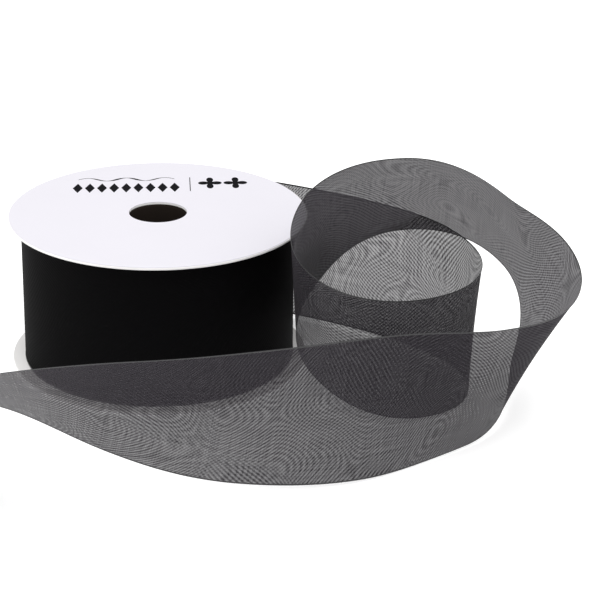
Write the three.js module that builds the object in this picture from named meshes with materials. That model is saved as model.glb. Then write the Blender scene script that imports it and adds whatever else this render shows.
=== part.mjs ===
// Ribbon spool standing on its end, with a loose tail of ribbon.
// Millimetres, +Z up. The origin is on the floor, on the axis of the spool.

import * as THREE from 'three';

// Spool
const FLANGE_DIAMETER = 102;
const BOARD_THICKNESS = 0.7;
const FACING_THICKNESS = 0.2;
const FACING_INSET = 0.3;
const BORE_DIAMETER = 19.8;
const CORE_WALL = 2.6;

// Ribbon
const RIBBON_WIDTH = 50;
const RIBBON_THICKNESS = 0.4;
const WINDING_DIAMETER = 92.8;

// Small pieces on the core
const GLUE_LEG = 0.6;
const TAPE_THICKNESS = 0.2;
const TAPE_WIDTH = 24;
const TAPE_ARC = 70;

// Clearances
const RUNNING_GAP = 0.3;
const SIDE_CLEARANCE = 0.3;

// Loose tail. It follows the winding for WRAP_ARC degrees before it leaves it.
const WRAP_ARC = 40;
const STATION_STEP = 5;
const STRIPS_ACROSS = 4;

// The route of the tail, one entry for every ROUTE_SPACING of its length, in degrees: the
// direction it runs in seen from above, its slope, and the lean of its upper edge to the right.
const ROUTE_SPACING = 40;
const ROUTE = [
  [-21, 0, 0], [-31, 0, 0], [-44, 0, 0], [-82, 0, 0], [-150, 2, -14], [-223, 18, -20],
  [-305, 28, 12], [-356, 4, 40], [-406, -28, 32], [-462, -26, -26], [-510, 0, -20], [-518, 3, -5],
  [-528, 6, -12], [-540, 10, -31], [-546, 0, -55], [-522, -30, -75], [-525, -12, -75],
];
const ROUTE_SMOOTHNESS = 0.5;

// Facets around a turned piece, and along one edge of the tape
const TURNED_SEGMENTS = 96;
const TAPE_SEGMENTS = 16;

const flangeThickness = BOARD_THICKNESS + FACING_THICKNESS;
const coreLength = RIBBON_WIDTH + 2 * SIDE_CLEARANCE;
const overallHeight = coreLength + 2 * flangeThickness;
const boreRadius = BORE_DIAMETER / 2;
const coreRadius = boreRadius + CORE_WALL;
const tapeInnerRadius = coreRadius + RUNNING_GAP;
const windingInnerRadius = tapeInnerRadius + Math.max(TAPE_THICKNESS, GLUE_LEG) + RUNNING_GAP;
const windingRadius = WINDING_DIAMETER / 2;
const wrapRadius = windingRadius + RUNNING_GAP + RIBBON_THICKNESS / 2;
const ribbonMiddle = flangeThickness + SIDE_CLEARANCE + RIBBON_WIDTH / 2;
const leaveAngle = ROUTE[0][0] + 90;
const tailLength = (ROUTE.length - 1) * ROUTE_SPACING;

const paperWhite = new THREE.MeshStandardMaterial({ color: 0xf4f3f9, roughness: 0.55, metalness: 0 });
const boardWhite = new THREE.MeshStandardMaterial({ color: 0xe6e3df, roughness: 0.85, metalness: 0 });
const coreBrown = new THREE.MeshStandardMaterial({ color: 0x3a2c24, roughness: 0.9, metalness: 0 });
const glueClear = new THREE.MeshStandardMaterial({ color: 0xe9dfb8, roughness: 0.3, metalness: 0 });
const tapeWhite = new THREE.MeshStandardMaterial({ color: 0xe8e6dc, roughness: 0.45, metalness: 0 });
const ribbonBlack = new THREE.MeshStandardMaterial({ color: 0x121214, roughness: 0.7, metalness: 0 });

const radians = THREE.MathUtils.degToRad;

const spool = new THREE.Group();

function addPiece(name, geometry, material, height = 0) {
  const mesh = new THREE.Mesh(geometry, material);
  mesh.name = name;
  mesh.position.z = height;
  spool.add(mesh);
}

// A turned solid about +Z from a closed outline of [radius, height] corners.
function turned(corners) {
  const outline = [...corners, corners[0]].map(([radius, height]) => new THREE.Vector2(radius, height));
  const geometry = new THREE.LatheGeometry(outline, TURNED_SEGMENTS);
  geometry.rotateX(Math.PI / 2);
  return geometry;
}

function ring(innerRadius, outerRadius, height) {
  return turned([[innerRadius, 0], [outerRadius, 0], [outerRadius, height], [innerRadius, height]]);
}

// Flanges: a board disc with a smooth facing glued to its outer face.
function addFlange(side, boardHeight, facingHeight) {
  const boardRadius = FLANGE_DIAMETER / 2;
  addPiece(`${side}_flange_board`, ring(boreRadius, boardRadius, BOARD_THICKNESS), boardWhite, boardHeight);
  const facing = ring(boreRadius, boardRadius - FACING_INSET, FACING_THICKNESS);
  addPiece(`${side}_flange_facing`, facing, paperWhite, facingHeight);
}

addFlange('bottom', FACING_THICKNESS, 0);
addFlange('top', flangeThickness + coreLength, overallHeight - FACING_THICKNESS);

// Core: a wound paper tube that stands between the two boards.
addPiece('core_tube', ring(boreRadius, coreRadius, coreLength), coreBrown, flangeThickness);

// Glue: a bead with a triangular section in each corner between the core and a board.
function glueBead(direction) {
  const inner = coreRadius + RUNNING_GAP;
  const corners = [[inner, 0], [inner + GLUE_LEG, 0], [inner, direction * GLUE_LEG]];
  return turned(direction > 0 ? corners : corners.reverse());
}

addPiece('bottom_glue_bead', glueBead(1), glueClear, flangeThickness);
addPiece('top_glue_bead', glueBead(-1), glueClear, flangeThickness + coreLength);

// Tape: a short curved strip that holds the first turn of the ribbon to the core.
function curvedStrip(innerRadius, thickness, arc, width) {
  const shape = new THREE.Shape();
  const half = radians(arc) / 2;
  shape.absarc(0, 0, innerRadius + thickness, -half, half, false);
  shape.absarc(0, 0, innerRadius, half, -half, true);
  shape.closePath();
  return new THREE.ExtrudeGeometry(shape, { depth: width, bevelEnabled: false, curveSegments: TAPE_SEGMENTS });
}

const tapeHeight = ribbonMiddle - TAPE_WIDTH / 2;
addPiece('start_tape', curvedStrip(tapeInnerRadius, TAPE_THICKNESS, TAPE_ARC, TAPE_WIDTH), tapeWhite, tapeHeight);

// Winding: the turns of ribbon on the core, as one solid.
const winding = ring(windingInnerRadius, windingRadius, RIBBON_WIDTH);
addPiece('ribbon_winding', winding, ribbonBlack, ribbonMiddle - RIBBON_WIDTH / 2);

const routeWays = ROUTE.map((way) => new THREE.Vector3(...way));
const routeCurve = new THREE.CatmullRomCurve3(routeWays, false, 'catmullrom', ROUTE_SMOOTHNESS);

// The direction along the tail and the direction across it, at a distance along the route.
function routeAt(distance) {
  const way = routeCurve.getPoint(Math.min(distance / tailLength, 1));
  const [heading, slope, lean] = way.toArray().map(radians);
  const forward = new THREE.Vector3(Math.cos(heading), Math.sin(heading), Math.tan(slope)).normalize();
  const right = new THREE.Vector3(Math.sin(heading), -Math.cos(heading), 0);
  const across = new THREE.Vector3().crossVectors(right, forward).applyAxisAngle(forward, lean);
  return { forward, across };
}

// Walks along the middle of the tail. Each station has the middle point, the direction
// across the ribbon and the normal of its face.
function tailStations() {
  const wrapSteps = Math.round(radians(WRAP_ARC) * wrapRadius / STATION_STEP);
  const wrapTurn = radians(WRAP_ARC) / wrapSteps;
  const stations = [];
  for (let i = wrapSteps; i > 0; i -= 1) {
    const angle = radians(leaveAngle) + i * wrapTurn;
    const normal = new THREE.Vector3(Math.cos(angle), Math.sin(angle), 0);
    const point = normal.clone().multiplyScalar(wrapRadius).setZ(ribbonMiddle);
    stations.push({ point, across: new THREE.Vector3(0, 0, 1), normal });
  }

  const leave = radians(leaveAngle);
  const point = new THREE.Vector3(Math.cos(leave), Math.sin(leave), 0).multiplyScalar(wrapRadius);
  point.setZ(ribbonMiddle);
  const steps = Math.round(tailLength / STATION_STEP);
  for (let i = 0; i <= steps; i += 1) {
    const { forward, across } = routeAt(i * STATION_STEP);
    const normal = new THREE.Vector3().crossVectors(across, forward);
    stations.push({ point: point.clone(), across, normal });
    point.addScaledVector(routeAt((i + 0.5) * STATION_STEP).forward, STATION_STEP);
  }
  return stations;
}

// A strip of even thickness along the stations, as one closed mesh.
function stripGeometry(stations, width, thickness) {
  const corners = [];
  for (let i = 0; i <= STRIPS_ACROSS; i += 1) {
    corners.push([(i / STRIPS_ACROSS - 0.5) * width, thickness / 2]);
  }
  for (let i = STRIPS_ACROSS; i >= 0; i -= 1) {
    corners.push([(i / STRIPS_ACROSS - 0.5) * width, -thickness / 2]);
  }

  const positions = [];
  for (const { point, across, normal } of stations) {
    for (const [sideways, outward] of corners) {
      const corner = point.clone().addScaledVector(across, sideways).addScaledVector(normal, outward);
      positions.push(corner.x, corner.y, corner.z);
    }
  }

  const count = corners.length;
  const faces = [];
  for (let i = 0; i + 1 < stations.length; i += 1) {
    for (let j = 0; j < count; j += 1) {
      const a = i * count + j;
      const b = i * count + (j + 1) % count;
      // Both faces split their squares along the same diagonal, so the strip keeps its thickness.
      if (j < STRIPS_ACROSS) {
        faces.push(a, b, a + count, b, b + count, a + count);
      } else {
        faces.push(a, b, b + count, a, b + count, a + count);
      }
    }
  }
  const last = (stations.length - 1) * count;
  for (let j = 0; j < STRIPS_ACROSS; j += 1) {
    const opposite = count - 1 - j;
    faces.push(j, opposite, j + 1, j + 1, opposite, opposite - 1);
    faces.push(last + j, last + j + 1, last + opposite, last + j + 1, last + opposite - 1, last + opposite);
  }

  const geometry = new THREE.BufferGeometry();
  geometry.setAttribute('position', new THREE.Float32BufferAttribute(positions, 3));
  geometry.setIndex(faces);
  geometry.computeVertexNormals();
  return geometry;
}

addPiece('ribbon_tail', stripGeometry(tailStations(), RIBBON_WIDTH, RIBBON_THICKNESS), ribbonBlack);

export default spool;
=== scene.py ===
import math

import bpy
from mathutils import Matrix, Vector


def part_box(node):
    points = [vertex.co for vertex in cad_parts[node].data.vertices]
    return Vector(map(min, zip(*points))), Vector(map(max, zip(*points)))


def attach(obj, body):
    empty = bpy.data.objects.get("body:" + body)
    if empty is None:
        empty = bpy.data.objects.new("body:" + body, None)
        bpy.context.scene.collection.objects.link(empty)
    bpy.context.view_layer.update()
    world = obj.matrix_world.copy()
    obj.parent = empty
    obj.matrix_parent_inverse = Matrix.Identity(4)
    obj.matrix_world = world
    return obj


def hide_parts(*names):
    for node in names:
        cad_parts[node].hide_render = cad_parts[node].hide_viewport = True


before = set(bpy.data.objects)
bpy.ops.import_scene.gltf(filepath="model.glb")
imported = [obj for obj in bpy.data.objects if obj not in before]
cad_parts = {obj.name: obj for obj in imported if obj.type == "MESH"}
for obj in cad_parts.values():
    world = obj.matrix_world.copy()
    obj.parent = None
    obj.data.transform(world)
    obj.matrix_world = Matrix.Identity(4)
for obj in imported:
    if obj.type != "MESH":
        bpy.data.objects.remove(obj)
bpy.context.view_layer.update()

# ---- Camera ----
# A long lens on a tripod, in front of the spool and above it, turned a little to the right
# so that the spool stands left of the middle and the loop of ribbon right of it.
camera_data = bpy.data.cameras.new("camera")
camera_data.sensor_width = 36
camera_data.lens = 134.6
camera = bpy.data.objects.new("camera", camera_data)
bpy.context.scene.collection.objects.link(camera)
bpy.context.scene.camera = camera
camera.matrix_world = (
    Matrix.Translation((0, -0.7200, 0.3232))
    @ Matrix.Rotation(math.radians(-3.895), 4, "Z")
    @ Matrix.Rotation(math.radians(90 - 22.86), 4, "X")
    @ Matrix.Rotation(math.radians(0.67), 4, "Z")
)

# ---- Studio ----
# A white table, lit a little from below, in a white tent: light from all sides, one wide soft
# lamp overhead and one in front that reaches under the top flange. The shadows stay faint.
bpy.context.scene.view_settings.view_transform = "Standard"
world = bpy.data.worlds.new("white_tent")
bpy.context.scene.world = world
world.use_nodes = True
world.node_tree.nodes["Background"].inputs["Color"].default_value = (1.0, 1.0, 1.0, 1)
world.node_tree.nodes["Background"].inputs["Strength"].default_value = 1.0


def add_lamp(name, place, aim, size, power):
    data = bpy.data.lights.new(name, "AREA")
    data.shape = "DISK"
    data.size = size
    data.energy = power
    lamp = bpy.data.objects.new(name, data)
    lamp.location = place
    lamp.rotation_euler = (Vector(aim) - Vector(place)).to_track_quat("-Z", "Y").to_euler()
    bpy.context.scene.collection.objects.link(lamp)


add_lamp("overhead_lamp", (-0.1, -0.1, 1.5), (0.03, -0.04, 0), 1.4, 3.0)
add_lamp("front_lamp", (0.0, -0.95, 1.30), (0.03, -0.04, 0), 1.0, 7.0)

floor_half = 4.0
floor_drop = 0.0001
floor_mesh = bpy.data.meshes.new("floor")
floor_mesh.from_pydata(
    [(x * floor_half, y * floor_half, -floor_drop) for x, y in ((-1, -1), (1, -1), (1, 1), (-1, 1))],
    [],
    [(0, 1, 2, 3)],
)
floor = bpy.data.objects.new("floor", floor_mesh)
bpy.context.scene.collection.objects.link(floor)
floor_paint = bpy.data.materials.new("white_floor")
floor_paint.use_nodes = True
floor_shader = floor_paint.node_tree.nodes["Principled BSDF"]
floor_shader.inputs["Base Color"].default_value = (0.97, 0.97, 0.97, 1)
floor_shader.inputs["Roughness"].default_value = 0.9
floor_shader.inputs["Specular IOR Level"].default_value = 0.0
floor_shader.inputs["Emission Color"].default_value = (1.0, 1.0, 1.0, 1)
floor_shader.inputs["Emission Strength"].default_value = 0.3
floor_mesh.materials.append(floor_paint)

# ---- Bottom flange ----
# A die-cut disc of white paperboard with a hole for a peg, and a thin smooth-coated facing
# glued to its outer side. The cut rim shows the soft, fibrous middle of the board.
bore = 9.9
facing_gloss = 0.3
board_softness = 0.12
facing_softness = 0.06


def add_node(tree, kind, inputs=None, **settings):
    """A new node with its plain settings made and its inputs set or linked."""
    node = tree.nodes.new(kind)
    for key, value in settings.items():
        setattr(node, key, value)
    for socket, value in (inputs or {}).items():
        if isinstance(value, bpy.types.NodeSocket):
            tree.links.new(value, node.inputs[socket])
        else:
            node.inputs[socket].default_value = value
    return node


def calculate(tree, operation, a, b=0.0, clamp=False):
    return add_node(tree, "ShaderNodeMath", {0: a, 1: b}, operation=operation, use_clamp=clamp).outputs[0]


def mix_tones(tree, share, first, second):
    """A colour between two tones."""
    node = add_node(tree, "ShaderNodeMix", data_type="RGBA")
    sockets = [s for s in node.inputs if s.enabled]
    for socket, value in zip(sockets, (share, first, second)):
        if isinstance(value, bpy.types.NodeSocket):
            tree.links.new(value, socket)
        else:
            socket.default_value = value
    return next(s for s in node.outputs if s.enabled)


def new_group(name, inputs, outputs):
    """An empty node group with float inputs, given as name to value, and float outputs."""
    group = bpy.data.node_groups.new(name, "ShaderNodeTree")
    for key, value in inputs.items():
        group.interface.new_socket(key, in_out="INPUT", socket_type="NodeSocketFloat").default_value = value
    for key in outputs:
        group.interface.new_socket(key, in_out="OUTPUT", socket_type="NodeSocketFloat")
    return group, group.nodes.new("NodeGroupInput").outputs, group.nodes.new("NodeGroupOutput").inputs


def place_group(tree, group, **values):
    node = add_node(tree, "ShaderNodeGroup", node_tree=group)
    for key, value in values.items():
        node.inputs[key.replace("_", " ")].default_value = value
    return node.outputs


# Paper grain: fibres a fraction of a millimetre long, and a soft cloudiness like that of
# paper held against the light.
cloud_scale = 40.0
grain_detail = 3.0
grain, grain_in, grain_out = new_group("paper_grain", {"Fibre Scale": 2500.0}, ("Fibre", "Cloud"))
grain_place = add_node(grain, "ShaderNodeTexCoord").outputs["Object"]
grain_fibre = add_node(
    grain, "ShaderNodeTexNoise", {"Vector": grain_place, "Scale": grain_in["Fibre Scale"], "Detail": grain_detail}
)
grain_cloud = add_node(
    grain, "ShaderNodeTexNoise", {"Vector": grain_place, "Scale": cloud_scale, "Detail": grain_detail}
)
grain.links.new(grain_fibre.outputs["Fac"], grain_out["Fibre"])
grain.links.new(grain_cloud.outputs["Fac"], grain_out["Cloud"])
roughness_spread = 0.16
bump_distance = 0.0001


def make_paper(name, dark, bright, roughness, fibre_scale, relief, gloss):
    """Paper or board: a cloudy tone between two colours, with raised fibres."""
    paper = bpy.data.materials.new(name)
    paper.use_nodes = True
    tree = paper.node_tree
    shader = tree.nodes["Principled BSDF"]
    surface = place_group(tree, grain, Fibre_Scale=fibre_scale)
    tree.links.new(mix_tones(tree, surface["Cloud"], dark, bright), shader.inputs["Base Color"])
    spread = calculate(tree, "MULTIPLY", surface["Fibre"], roughness_spread)
    rough = calculate(tree, "ADD", spread, roughness - roughness_spread / 2)
    tree.links.new(rough, shader.inputs["Roughness"])
    bump = add_node(
        tree, "ShaderNodeBump", {"Height": surface["Fibre"], "Strength": relief, "Distance": bump_distance}
    )
    tree.links.new(bump.outputs[0], shader.inputs["Normal"])
    shader.inputs["Specular IOR Level"].default_value = gloss
    return paper


def add_piece(name, points, faces, uvs, material, body):
    """A smooth mesh piece with a map in metres along and across it, fixed to a body."""
    mesh = bpy.data.meshes.new(name)
    mesh.from_pydata(points, [], faces)
    layer = mesh.uv_layers.new(name="cloth")
    for loop in mesh.loops:
        layer.data[loop.index].uv = uvs[loop.vertex_index]
    mesh.shade_smooth()
    mesh.materials.append(material)
    piece = bpy.data.objects.new(name, mesh)
    bpy.context.scene.collection.objects.link(piece)
    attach(piece, body)
    return piece


def rounded_outline(inner, outer, low, high, soft):
    """Corners, in mm, of a flat ring's section with softly rounded edges and flat faces."""
    corners = []
    per_corner = 5
    step_angle = 90 / (per_corner - 1)
    inset = 3 * soft
    centres = (
        (inner + soft, low + soft, 180), (outer - soft, low + soft, 270),
        (outer - soft, high - soft, 0), (inner + soft, high - soft, 90),
    )  # fmt: skip
    for radius, height, start in centres:
        for step in range(per_corner):
            angle = math.radians(start + step * step_angle)
            corners.append((radius + soft * math.cos(angle), height + soft * math.sin(angle)))
    # A second corner just inside each face keeps the flat faces flat under smooth shading.
    low_face = [(inner + inset, low), (outer - inset, low)]
    high_face = [(outer - inset, high), (inner + inset, high)]
    right = corners[per_corner : 3 * per_corner]
    return corners[:per_corner] + low_face + right + high_face + corners[3 * per_corner :]


# The map's length round the spool is measured at about the radius of the winding.
map_radius = 0.05


def add_turned(name, outline, material, sides=256):
    """A closed piece turned about the spool's axis from (radius, height) corners in mm."""
    points, uvs, faces = [], [], []
    count = len(outline)
    along = [0.0]
    for a, b in zip(outline, outline[1:]):
        along.append(along[-1] + math.dist(a, b) / 1000)
    for i in range(sides):
        angle = 2 * math.pi * i / sides
        for k, (radius, height) in enumerate(outline):
            points.append((radius * math.cos(angle) / 1000, radius * math.sin(angle) / 1000, height / 1000))
            uvs.append((angle * map_radius, along[k]))
    for i in range(sides):
        beside = (i + 1) % sides
        for k in range(count):
            above = (k + 1) % count
            faces.append((i * count + k, beside * count + k, beside * count + above, i * count + above))
    return add_piece(name, points, faces, uvs, material, "spool")


# Both papers are really white; the facing's faint lilac tint is its own. The board is set lighter, painted light
# on the shaded inner face of the bottom flange. The facing is set darker, painted shade against the strong light
# on the top flange.
board_paper_painted_light = make_paper(
    "white_paperboard_painted_light", (0.86, 0.85, 0.84, 1), (0.91, 0.90, 0.89, 1), 0.85, 3000.0, 0.4, 0.05
)
facing_paper_painted_shade = make_paper(
    "coated_white_paper_painted_shade", (0.678, 0.662, 0.714, 1), (0.698, 0.682, 0.734, 1), 0.45, 2500.0, 0.06, facing_gloss
)


def add_flange(side):
    low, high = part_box(f"{side}_flange_board")
    outline = rounded_outline(bore, high.x * 1000, low.z * 1000, high.z * 1000, board_softness)
    board = add_turned(f"{side}_board", outline, board_paper_painted_light)
    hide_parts(f"{side}_flange_board")
    low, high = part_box(f"{side}_flange_facing")
    outline = rounded_outline(bore, high.x * 1000, low.z * 1000, high.z * 1000, facing_softness)
    facing = add_turned(f"{side}_facing", outline, facing_paper_painted_shade)
    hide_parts(f"{side}_flange_facing")


add_flange("bottom")

# ---- Core tube ----
# Strips of brown paper wound in a spiral round a rod, with glue between them, and cut
# to length. The seam between the strips runs round the bore as a fine helix.
core_low, core_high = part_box("core_tube")
# The paper's tone is set near black: real brown paper, darkened with painted shade of the deep bore.
core_paper = make_paper(
    "brown_core_paper_with_painted_shade", (0.010, 0.008, 0.007, 1), (0.030, 0.021, 0.016, 1), 0.9, 1500.0, 0.6, 0.1
)
seam_rise = 18.0
seam_width = 0.5
seam_depth = 0.15
core_rows = 60
core_sides = 128
core_heights = [1000 * (core_low.z + (core_high.z - core_low.z) * i / core_rows) for i in range(core_rows + 1)]
# Up the inside and down the outside. The seam is a dent into the paper on both.
core_section = [(bore, 1, height) for height in core_heights]
core_section += [(core_high.x * 1000, -1, height) for height in reversed(core_heights)]
core_points, core_uvs, core_faces = [], [], []
for radius, inward, height in core_section:
    for i in range(core_sides):
        turn = i / core_sides
        from_seam = ((height / seam_rise - turn + 0.5) % 1 - 0.5) * seam_rise
        dent = seam_depth * math.exp(-((from_seam / seam_width) ** 2))
        reach = (radius + inward * dent) / 1000
        angle = 2 * math.pi * turn
        core_points.append((reach * math.cos(angle), reach * math.sin(angle), height / 1000))
        core_uvs.append((angle * radius / 1000, height / 1000))
for ring in range(len(core_section)):
    here = ring * core_sides
    following = (ring + 1) % len(core_section) * core_sides
    for i in range(core_sides):
        beside = (i + 1) % core_sides
        core_faces.append((here + i, following + i, following + beside, here + beside))
core = add_piece("core_tube_paper", core_points, core_faces, core_uvs, core_paper, "spool")
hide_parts("core_tube")

# ---- Glue beads ----
# Pale hot glue, run round the corner between the core and each flange. It has set glossy.
glue = make_paper("pale_hot_glue", (0.70, 0.64, 0.44, 1), (0.78, 0.72, 0.52, 1), 0.3, 400.0, 0.2, 0.5)
for bead in ("top_glue_bead", "bottom_glue_bead"):
    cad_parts[bead].data.materials.clear()
    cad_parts[bead].data.materials.append(glue)

# ---- Starting tape ----
# A short strip of white adhesive tape that holds the first turn of ribbon to the core.
tape = make_paper("white_tape", (0.72, 0.71, 0.66, 1), (0.80, 0.79, 0.74, 1), 0.45, 1200.0, 0.2, 0.4)
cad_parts["start_tape"].data.materials.clear()
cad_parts["start_tape"].data.materials.append(tape)

# ---- Wound ribbon ----
# Many metres of sheer black nylon ribbon wound turn on turn, so dense that it looks solid
# black. The edges of the turns show as fine rings on its two ends.
winding_low, winding_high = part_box("ribbon_winding")
winding_bottom = winding_low.z * 1000
winding_top = winding_high.z * 1000
winding_outer = winding_high.x * 1000
winding_inner = 13.9
edge_rings = 60
edge_depth = 0.25

# Sheer weave: fine threads both ways. Where two layers of thread drift past each other they
# make a slanting hatch and watered rings, which come and go over the cloth.
weave, weave_in, weave_out = new_group(
    "sheer_weave", {"Hatch": 0.3, "Watering": 0.2, "Threads": 0.1}, ("Openness", "Relief")
)
weave_place = add_node(weave, "ShaderNodeUVMap", uv_map="cloth").outputs[0]
weave_axes = add_node(weave, "ShaderNodeSeparateXYZ", {0: weave_place})
along, across = weave_axes.outputs[0], weave_axes.outputs[1]
hatch_pitch = 0.0014
hatch_drift = 60.0
ring_drifts = (210.0, 170.0)
thread_fineness = 2600.0
thread_length_scale = 45.0


def smooth_field(tree, place, scale):
    node = add_node(
        tree, "ShaderNodeTexNoise", {"Vector": place, "Scale": scale, "Detail": 0.0}, noise_dimensions="2D"
    )
    return node.outputs["Fac"]


drift_one = smooth_field(weave, weave_place, 30.0)
weave_shift = add_node(
    weave, "ShaderNodeVectorMath", {0: weave_place, 1: (3.7, 1.9, 0)}, operation="ADD"
).outputs[0]
drift_two = smooth_field(weave, weave_shift, 36.0)
weave_slow = add_node(
    weave, "ShaderNodeVectorMath", {0: weave_place, 1: (8.3, 5.1, 0)}, operation="ADD"
).outputs[0]
patches = smooth_field(weave, weave_slow, 22.0)
patch_share = add_node(
    weave,
    "ShaderNodeMapRange",
    {"Value": patches, "From Min": 0.42, "From Max": 0.58},
    interpolation_type="SMOOTHSTEP",
).outputs[0]

hatch_waves = []
for slant, drift in (("ADD", drift_one), ("SUBTRACT", drift_two)):
    straight = calculate(weave, "MULTIPLY", calculate(weave, slant, along, across), 2 * math.pi / hatch_pitch)
    drifted = calculate(weave, "ADD", straight, calculate(weave, "MULTIPLY", drift, hatch_drift))
    hatch_waves.append(calculate(weave, "SINE", drifted))
hatch = add_node(
    weave, "ShaderNodeMix", {0: patch_share, 2: hatch_waves[0], 3: hatch_waves[1]}, data_type="FLOAT"
).outputs[0]
ring_waves = []
for drift, count in zip((drift_one, drift_two), ring_drifts):
    ring_waves.append(calculate(weave, "SINE", calculate(weave, "MULTIPLY", drift, count)))
watered = add_node(
    weave, "ShaderNodeMix", {0: patch_share, 2: ring_waves[1], 3: ring_waves[0]}, data_type="FLOAT"
).outputs[0]
thread_tones = []
for lengthwise, crosswise in (
    (thread_fineness, thread_length_scale), (thread_length_scale, thread_fineness),
):  # fmt: skip
    thread_place = add_node(
        weave, "ShaderNodeVectorMath", {0: weave_place, 1: (lengthwise, crosswise, 1.0)}, operation="MULTIPLY"
    ).outputs[0]
    thread_tones.append(calculate(weave, "SUBTRACT", smooth_field(weave, thread_place, 1.0), 0.5))
threads = calculate(weave, "MULTIPLY", calculate(weave, "ADD", *thread_tones), 2.0)
hatch_part = calculate(weave, "MULTIPLY", hatch, weave_in["Hatch"])
water_part = calculate(weave, "MULTIPLY", watered, weave_in["Watering"])
thread_part = calculate(weave, "MULTIPLY", threads, weave_in["Threads"])
pattern = calculate(weave, "ADD", calculate(weave, "ADD", hatch_part, water_part), thread_part)
weave.links.new(calculate(weave, "ADD", pattern, 1.0), weave_out["Openness"])
weave.links.new(hatch, weave_out["Relief"])

wound = bpy.data.materials.new("wound_black_ribbon")
wound.use_nodes = True
wound_tree = wound.node_tree
wound_shader = wound_tree.nodes["Principled BSDF"]
wound_weave = place_group(wound_tree, weave, Hatch=0.15, Watering=0.1, Threads=0.3)
wound_share = calculate(wound_tree, "MULTIPLY", wound_weave["Openness"], 0.5, clamp=True)
wound_tone = mix_tones(wound_tree, wound_share, (0.0035, 0.0033, 0.0036, 1), (0.0060, 0.0056, 0.0062, 1))
wound_tree.links.new(wound_tone, wound_shader.inputs["Base Color"])
wound_bump = add_node(
    wound_tree, "ShaderNodeBump", {"Height": wound_weave["Relief"], "Strength": 0.04, "Distance": bump_distance}
)
wound_tree.links.new(wound_bump.outputs[0], wound_shader.inputs["Normal"])
wound_shader.inputs["Roughness"].default_value = 0.6
wound_shader.inputs["Specular IOR Level"].default_value = 0.03

wound_outline = []
for i in range(edge_rings):
    radius = winding_inner + (winding_outer - winding_inner) * i / edge_rings
    wound_outline.append((radius, winding_bottom + (edge_depth if i % 2 else 0)))
wall_rows = 12
wall_sag = 0.12
for i in range(wall_rows + 1):
    share = i / wall_rows
    swell = wall_sag * math.sin(math.pi * share)
    height = winding_bottom + (winding_top - winding_bottom) * share
    wound_outline.append((winding_outer - wall_sag + swell, height))
for i in reversed(range(edge_rings)):
    radius = winding_inner + (winding_outer - winding_inner) * i / edge_rings
    wound_outline.append((radius, winding_top - (edge_depth if i % 2 else 0)))
wound_ribbon = add_turned("wound_ribbon", wound_outline, wound)
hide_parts("ribbon_winding")

# ---- Top flange ----
# The same board and facing as below, glued on after the core. Its outer facing carries a
# small printed ornament behind the hole.
add_flange("top")

# ---- Printed ornament ----
# One pass of black ink on the coated facing: a waving line over a row of lozenges, a thin
# divider and two small four-petalled flowers.
ink = make_paper("black_ink", (0.008, 0.008, 0.009, 1), (0.016, 0.016, 0.018, 1), 0.6, 2500.0, 0.05, 0.0)
ink_film = 0.00004
ink_sink = 0.00001
ink_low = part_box("top_flange_facing")[1].z - ink_sink
ink_points, ink_faces = [], []


def print_shape(outline):
    """One flat inked shape, from its outline in mm on the facing, as a thin closed film."""
    start = len(ink_points)
    count = len(outline)
    for height in (ink_low, ink_low + ink_film):
        ink_points.extend((x / 1000, y / 1000, height) for x, y in outline)
    ink_faces.append(tuple(start + i for i in reversed(range(count))))
    ink_faces.append(tuple(start + count + i for i in range(count)))
    for i in range(count):
        j = (i + 1) % count
        ink_faces.append((start + i, start + j, start + count + j, start + count + i))


ornament_left = -28
line_steps = 90
line_length = 34
line_height = 33.2
line_swing = 1.5
upper_line, lower_line = [], []
for i in range(line_steps + 1):
    share = i / line_steps
    x = ornament_left + line_length * share
    y = line_height + line_swing * math.sin(share * math.pi * 5)
    half = 0.12 + 0.55 * math.sin(share * math.pi) * (0.5 + 0.5 * math.cos(share * math.pi * 10))
    upper_line.append((x, y + half))
    lower_line.append((x, y - half))
print_shape(lower_line + upper_line[::-1])
lozenge_count = 9
lozenge_pitch = 4.25
lozenge_half_width = 1.75
lozenge_half_height = 4.7
lozenge_middle = 24.5
for i in range(lozenge_count):
    x = ornament_left + lozenge_pitch * i
    print_shape([
        (x - lozenge_half_width, lozenge_middle), (x, lozenge_middle - lozenge_half_height),
        (x + lozenge_half_width, lozenge_middle), (x, lozenge_middle + lozenge_half_height),
    ])  # fmt: skip
divider_left, divider_right = 11.3, 11.6
divider_low, divider_high = 20.5, 34.5
print_shape([
    (divider_left, divider_low), (divider_right, divider_low),
    (divider_right, divider_high), (divider_left, divider_high),
])  # fmt: skip
petal_steps = 72
flower_middle = 28.5
flower_width, flower_height = 0.85, 1.15
for centre in (18.5, 27.5):
    petals = []
    for i in range(petal_steps):
        angle = 2 * math.pi * i / petal_steps
        reach = 1.3 + 3.6 * abs(math.cos(2 * angle)) ** 1.3
        x = centre + flower_width * reach * math.cos(angle)
        petals.append((x, flower_middle + flower_height * reach * math.sin(angle)))
    print_shape(petals)
ornament = add_piece(
    "printed_ornament", ink_points, ink_faces, [(x, y) for x, y, z in ink_points], ink, "spool"
)
for polygon in ornament.data.polygons:
    polygon.use_smooth = False

# ---- Loose ribbon ----
# The free end of the same ribbon, 50 mm wide. It comes round the winding, stands on its edge,
# makes nearly one and a half turns in a rising loop and runs left across the front of the spool.
ribbon_width = 0.050
ribbon_middle = 0.0262
wrap_radius = 0.0469
wrap_start_radius = 0.0465
wrap_arc = math.radians(352)
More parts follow.
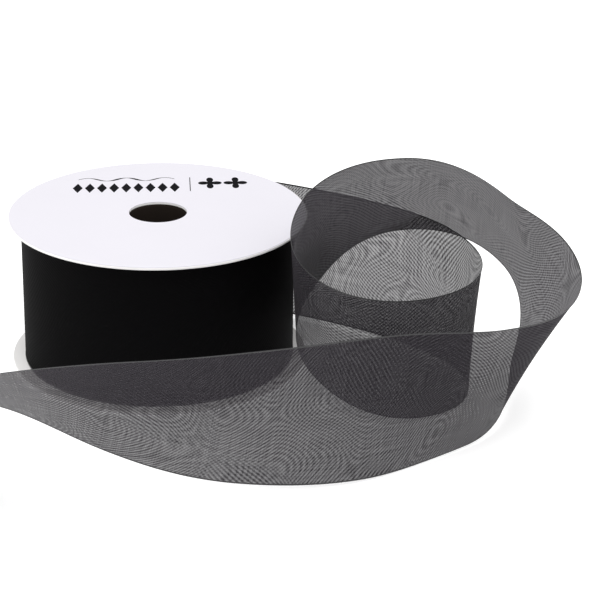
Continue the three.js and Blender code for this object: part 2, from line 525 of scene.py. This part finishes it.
# The direction it runs in seen from above, its slope, and the lean of its upper edge to the
# right, in degrees, for every 40 mm of the length.
route_spacing = 0.040
route = [
    (-21, 0, 0), (-31, 0, 0), (-44, 0, 0), (-82, 0, 0), (-150, 2, -14), (-223, 18, -20),
    (-305, 28, 12), (-356, 4, 40), (-406, -28, 32), (-462, -26, -26), (-510, 0, -20), (-518, 3, -5),
    (-528, 6, -12), (-540, 10, -31), (-546, 0, -55), (-522, -30, -75), (-525, -12, -75),
]  # fmt: skip
leave_angle = math.radians(route[0][0] + 90)
tail_length = (len(route) - 1) * route_spacing
station_step = 0.001
rows_across = 25


def curve_between(a, b, c, d, t):
    """A smooth curve from b to c that heads as a and d say."""
    return 0.5 * (2 * b + (c - a) * t + (2 * a - 5 * b + 4 * c - d) * t**2 + (3 * b - 3 * c + d - a) * t**3)


def route_at(distance):
    """The direction along the tail and the direction across it, at a distance along the route."""
    ways = [Vector(way) for way in route]
    ways = [2 * ways[0] - ways[1], *ways, 2 * ways[-1] - ways[-2]]
    place = distance / route_spacing
    start = min(int(place), len(route) - 2)
    heading, slope, lean = (math.radians(v) for v in curve_between(*ways[start : start + 4], place - start))
    forward = Vector((math.cos(heading), math.sin(heading), math.tan(slope))).normalized()
    right = Vector((math.sin(heading), -math.cos(heading), 0))
    return forward, Matrix.Rotation(lean, 3, forward) @ right.cross(forward)


def ribbon_stations():
    """Middle point, direction across and face normal, about once per millimetre."""
    stations = []
    wrap_steps = round(wrap_arc * wrap_radius / station_step)
    for i in range(wrap_steps, 0, -1):
        angle = leave_angle + i * wrap_arc / wrap_steps
        radius = wrap_radius + (wrap_start_radius - wrap_radius) * i / wrap_steps
        outward = Vector((math.cos(angle), math.sin(angle), 0))
        stations.append((outward * radius + Vector((0, 0, ribbon_middle)), Vector((0, 0, 1)), outward))
    point = Vector((math.cos(leave_angle), math.sin(leave_angle), 0)) * wrap_radius
    point.z = ribbon_middle
    for i in range(round(tail_length / station_step) + 1):
        forward, across = route_at(i * station_step)
        stations.append((point.copy(), across, across.cross(forward)))
        point += route_at((i + 0.5) * station_step)[0] * station_step
    return stations, wrap_steps * station_step


stations, wrap_length = ribbon_stations()

sheer = bpy.data.materials.new("sheer_black_ribbon")
sheer.use_nodes = True
sheer_tree = sheer.node_tree
sheer_shader = sheer_tree.nodes["Principled BSDF"]
sheer_weave = place_group(sheer_tree, weave, Hatch=0.60, Watering=0.24, Threads=0.30)
sheer_place = add_node(sheer_tree, "ShaderNodeUVMap", uv_map="cloth").outputs[0]
sheer_along = add_node(sheer_tree, "ShaderNodeSeparateXYZ", {0: sheer_place}).outputs[0]


def change_along(start, end, before, after):
    """A value that changes smoothly between two places on the ribbon's length."""
    return add_node(
        sheer_tree,
        "ShaderNodeMapRange",
        {"Value": sheer_along, "From Min": start, "From Max": end, "To Min": before, "To Max": after},
        interpolation_type="SMOOTHSTEP",
    ).outputs[0]


# Pressed on the winding the ribbon is as black and as closed as the turns under it. Loose, it
# is set most open in the first stretch off the spool, closest in the loops and a little more open again in the
# front strip. These changes are not in the weave: the closer loops stand in for cloth seen at a slant, and the
# more open front strip is painted light over the shaded floor behind it.
pressed_black = (0.0045, 0.0042, 0.0047, 1)
sheer_loose = change_along(wrap_length - 0.06, wrap_length - 0.01, 0.0, 1.0)
sheer_open_and_painted_shade = calculate(
    sheer_tree,
    "ADD",
    change_along(wrap_length + 0.19, wrap_length + 0.25, 0.142, 0.079),
    change_along(wrap_length + 0.38, wrap_length + 0.42, 0.0, 0.030),
)
sheer_gaps = calculate(sheer_tree, "MULTIPLY", sheer_weave["Openness"], sheer_open_and_painted_shade, clamp=True)
sheer_gaps = calculate(sheer_tree, "MULTIPLY", sheer_gaps, sheer_loose)
sheer_share = calculate(sheer_tree, "MULTIPLY", sheer_weave["Openness"], 0.5, clamp=True)
loose_tone = mix_tones(sheer_tree, sheer_share, (0.012, 0.010, 0.013, 1), (0.032, 0.029, 0.034, 1))
sheer_tone = mix_tones(sheer_tree, sheer_loose, pressed_black, loose_tone)
sheer_tree.links.new(sheer_tone, sheer_shader.inputs["Base Color"])
sheer_bump = add_node(
    sheer_tree, "ShaderNodeBump", {"Height": sheer_weave["Relief"], "Strength": 0.25, "Distance": bump_distance}
)
sheer_tree.links.new(sheer_bump.outputs[0], sheer_shader.inputs["Normal"])
sheer_shader.inputs["Roughness"].default_value = 0.6
sheer_shader.inputs["Specular IOR Level"].default_value = 0.05
# Half of what the threads throw back comes through them from behind.
through = add_node(sheer_tree, "ShaderNodeBsdfTranslucent")
lit_tone = mix_tones(sheer_tree, sheer_share, (0.035, 0.032, 0.037, 1), (0.105, 0.098, 0.109, 1))
through_tone = mix_tones(sheer_tree, sheer_loose, pressed_black, lit_tone)
sheer_tree.links.new(through_tone, through.inputs["Color"])
threads_lit = add_node(
    sheer_tree, "ShaderNodeMixShader", {0: 0.5, 1: sheer_shader.outputs[0], 2: through.outputs[0]}
)
gaps = add_node(sheer_tree, "ShaderNodeBsdfTransparent")
sheer_cloth = add_node(
    sheer_tree, "ShaderNodeMixShader", {0: sheer_gaps, 1: threads_lit.outputs[0], 2: gaps.outputs[0]}
)
sheer_tree.links.new(sheer_cloth.outputs[0], sheer_tree.nodes["Material Output"].inputs["Surface"])

ribbon_points, ribbon_uvs, ribbon_faces = [], [], []
for i, (point, side, _) in enumerate(stations):
    for j in range(rows_across + 1):
        sideways = (j / rows_across - 0.5) * ribbon_width
        ribbon_points.append(point + side * sideways)
        ribbon_uvs.append((i * station_step, sideways + ribbon_width / 2))
row = rows_across + 1
for i in range(len(stations) - 1):
    for j in range(rows_across):
        a = i * row + j
        ribbon_faces.append((a, a + 1, a + 1 + row, a + row))
ribbon = add_piece(
    "loose_ribbon", ribbon_points, ribbon_faces, ribbon_uvs, sheer, "free_ribbon"
)
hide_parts("ribbon_tail")

# ---- Selvedges ----
# The two woven edges of the ribbon. The weft turns back round a few close threads there, so
# each edge is a narrow, dense band, a little thicker than the cloth.
selvedge_width = 0.00055
selvedge_thickness = 0.00022
selvedge_sides = 8
selvedge_black = bpy.data.materials.new("selvedge_black")
selvedge_black.use_nodes = True
selvedge_tree = selvedge_black.node_tree
selvedge_shader = selvedge_tree.nodes["Principled BSDF"]
selvedge_weave = place_group(selvedge_tree, weave, Hatch=0.5, Watering=0.0, Threads=0.5)
selvedge_share = calculate(selvedge_tree, "MULTIPLY", selvedge_weave["Openness"], 0.5, clamp=True)
selvedge_tone = mix_tones(selvedge_tree, selvedge_share, (0.010, 0.010, 0.011, 1), (0.024, 0.023, 0.025, 1))
selvedge_tree.links.new(selvedge_tone, selvedge_shader.inputs["Base Color"])
selvedge_shader.inputs["Roughness"].default_value = 0.35
selvedge_shader.inputs["Specular IOR Level"].default_value = 0.5


def add_selvedge(name, side_sign):
    points, uvs, faces = [], [], []
    for i, (point, side, normal) in enumerate(stations):
        middle = point + side * side_sign * (ribbon_width / 2 - selvedge_width / 2)
        for k in range(selvedge_sides):
            angle = 2 * math.pi * k / selvedge_sides
            sideways = side * math.cos(angle) * selvedge_width / 2
            outward = normal * math.sin(angle) * selvedge_thickness / 2
            points.append(middle + sideways + outward)
            uvs.append((i * station_step, k * selvedge_width / selvedge_sides))
    for i in range(len(stations) - 1):
        for k in range(selvedge_sides):
            a = i * selvedge_sides + k
            b = i * selvedge_sides + (k + 1) % selvedge_sides
            faces.append((a, a + selvedge_sides, b + selvedge_sides, b))
    last = (len(stations) - 1) * selvedge_sides
    faces.append(tuple(range(selvedge_sides)))
    faces.append(tuple(last + k for k in reversed(range(selvedge_sides))))
    return add_piece(name, points, faces, uvs, selvedge_black, "free_ribbon")


selvedges = [add_selvedge("upper_selvedge", 1), add_selvedge("lower_selvedge", -1)]
